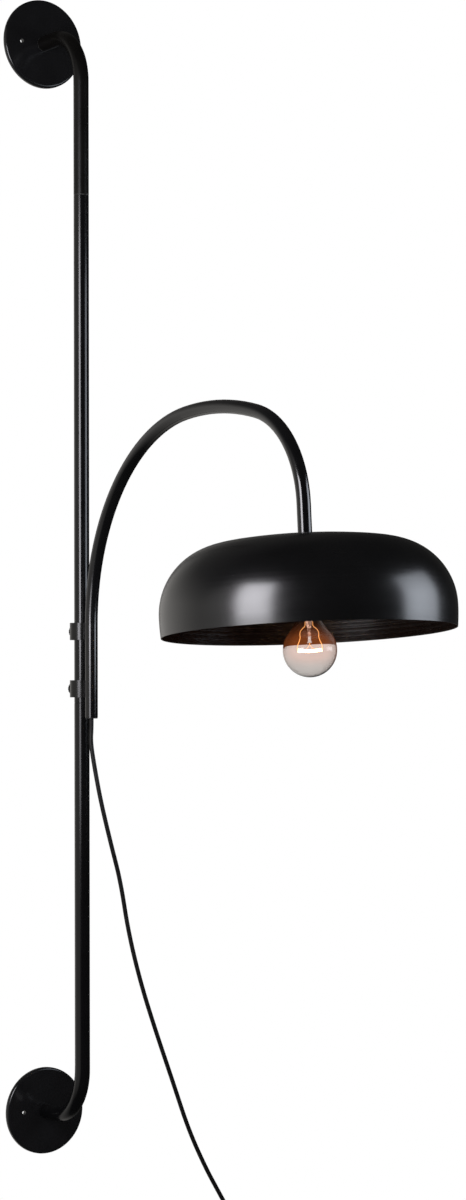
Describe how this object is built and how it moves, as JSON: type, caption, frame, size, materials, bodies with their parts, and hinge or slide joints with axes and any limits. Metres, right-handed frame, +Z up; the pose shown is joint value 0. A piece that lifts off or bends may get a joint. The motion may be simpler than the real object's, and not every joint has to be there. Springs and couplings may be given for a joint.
{
  "type": "hanging pendant wall sconce",
  "caption": "Black wall pole on round plates, with a clamped arc arm that slides and swings, a spun dome shade, a bare bulb and a plug-in cord.",
  "frame": {"origin": "centre of the upper wall plate's back face, on the wall", "axes": "+Z up along the pole, +Y into the wall, so the lamp stands off towards -Y, +X to the right seen from the room"},
  "size_m": [0.4143, 0.7597, 1.7211],
  "materials": {
    "black_plate": "satin black powder coat with a fine orange peel",
    "black_tube": "satin black powder coat, slightly glossier than the plates",
    "black_clamp": "satin black paint on turned steel",
    "black_knob": "satin black paint, knurled edge",
    "black_shade": "satin black paint outside, dark brown-black paint inside, with faint spinning lines",
    "plain_steel": "machined, unpainted, hidden in the tubes",
    "zinc_screw": "zinc plated",
    "nylon": "black nylon",
    "black_plastic": "moulded black plastic",
    "phenolic": "black phenolic",
    "brass": "plain brass",
    "bulb_metal": "rolled aluminium thread",
    "bulb_insulator": "black glass",
    "solder": "dull solder",
    "clear_glass": "clear blown glass, thin and smooth",
    "stem_glass": "clear pressed glass",
    "wire": "drawn wire, slightly darkened",
    "filament": "glowing coiled wire",
    "cord_jacket": "smooth black flexible jacket",
    "switch_plastic": "moulded black plastic, finely textured",
    "rocker_plastic": "smooth moulded black plastic",
    "tie_rubber": "matt black band",
    "plug_rubber": "moulded black plug body"
  },
  "bodies": {
    "wall_frame": {"upper_wall_plate": "black_plate", "upper_plate_screw": "zinc_screw", "upper_elbow_plug": "plain_steel", "upper_pole_elbow": "black_tube", "upper_joint_socket": "plain_steel", "upper_joint_stud": "plain_steel", "middle_pole_tube": "black_tube", "lower_joint_socket": "plain_steel", "lower_joint_stud": "plain_steel", "lower_pole_elbow": "black_tube", "lower_elbow_plug": "plain_steel", "lower_plate_screw": "zinc_screw", "lower_wall_plate": "black_plate"},
    "liners": {"upper_collar_liner": "nylon", "lower_collar_liner": "nylon"},
    "arm": {"upper_clamp_collar": "black_clamp", "lower_clamp_collar": "black_clamp", "arc_arm_tube": "black_tube", "arm_end_bush": "black_plastic", "arm_lead": "cord_jacket", "arm_end_plug": "plain_steel", "shade_nipple": "zinc_screw", "shade": "black_shade", "shade_washer": "zinc_screw", "shade_locknut": "zinc_screw", "socket_cap": "phenolic", "socket_body": "phenolic", "socket_screw_shell": "brass", "socket_centre_contact": "brass", "lead_grip": "black_plastic", "bulb_base": "bulb_metal", "bulb_insulator": "bulb_insulator", "bulb_contact": "solder", "bulb_glass": "clear_glass", "bulb_stem": "stem_glass", "bulb_left_wire": "wire", "bulb_right_wire": "wire", "bulb_filament": "filament"},
    "upper_screw": {"upper_clamp_screw": "black_knob"},
    "lower_screw": {"lower_clamp_screw": "black_knob"},
    "hanging_cord": {"cord": "cord_jacket", "switch_front_shell": "switch_plastic", "switch_rear_shell": "switch_plastic", "switch_upper_screw": "zinc_screw", "switch_lower_screw": "zinc_screw", "rocker_pin": "plain_steel", "cord_coil": "cord_jacket", "cord_tie": "tie_rubber", "plug_body": "plug_rubber", "plug_left_blade": "brass", "plug_right_blade": "brass"},
    "rocker": {"switch_rocker": "rocker_plastic"}
  },
  "joints": [
    {"name": "arm_height", "type": "slide", "parent": "wall_frame", "child": "liners", "axis": [0, 0, 1], "range_m": [-0.45, 0.65]},
    {"name": "arm_swing", "type": "hinge", "parent": "liners", "child": "arm", "pos_m": [0, -0.099, -0.7845], "axis": [0, 0, 1], "range_deg": [-75, 75]},
    {"name": "upper_screw_turn", "type": "hinge", "parent": "arm", "child": "upper_screw", "pos_m": [0, -0.083, -0.7487], "axis": [0, 1, 0], "range_deg": [0, 360]},
    {"name": "lower_screw_turn", "type": "hinge", "parent": "arm", "child": "lower_screw", "pos_m": [0, -0.083, -0.8203], "axis": [0, 1, 0], "range_deg": [0, 360]},
    {"name": "cord_turn", "type": "hinge", "parent": "arm", "child": "hanging_cord", "pos_m": [0, -0.1225, -0.85725], "axis": [0, 0, 1], "range_deg": [-75, 75]},
    {"name": "rocker_tilt", "type": "hinge", "parent": "hanging_cord", "child": "rocker", "pos_m": [0.20583, -0.1398, -1.50683], "axis": [-0.8546, 0, -0.5192], "range_deg": [0, 14]}
  ],
  "couplings": [
    {"joint": "cord_turn", "follows": "arm_swing", "ratio": -1}
  ]
}
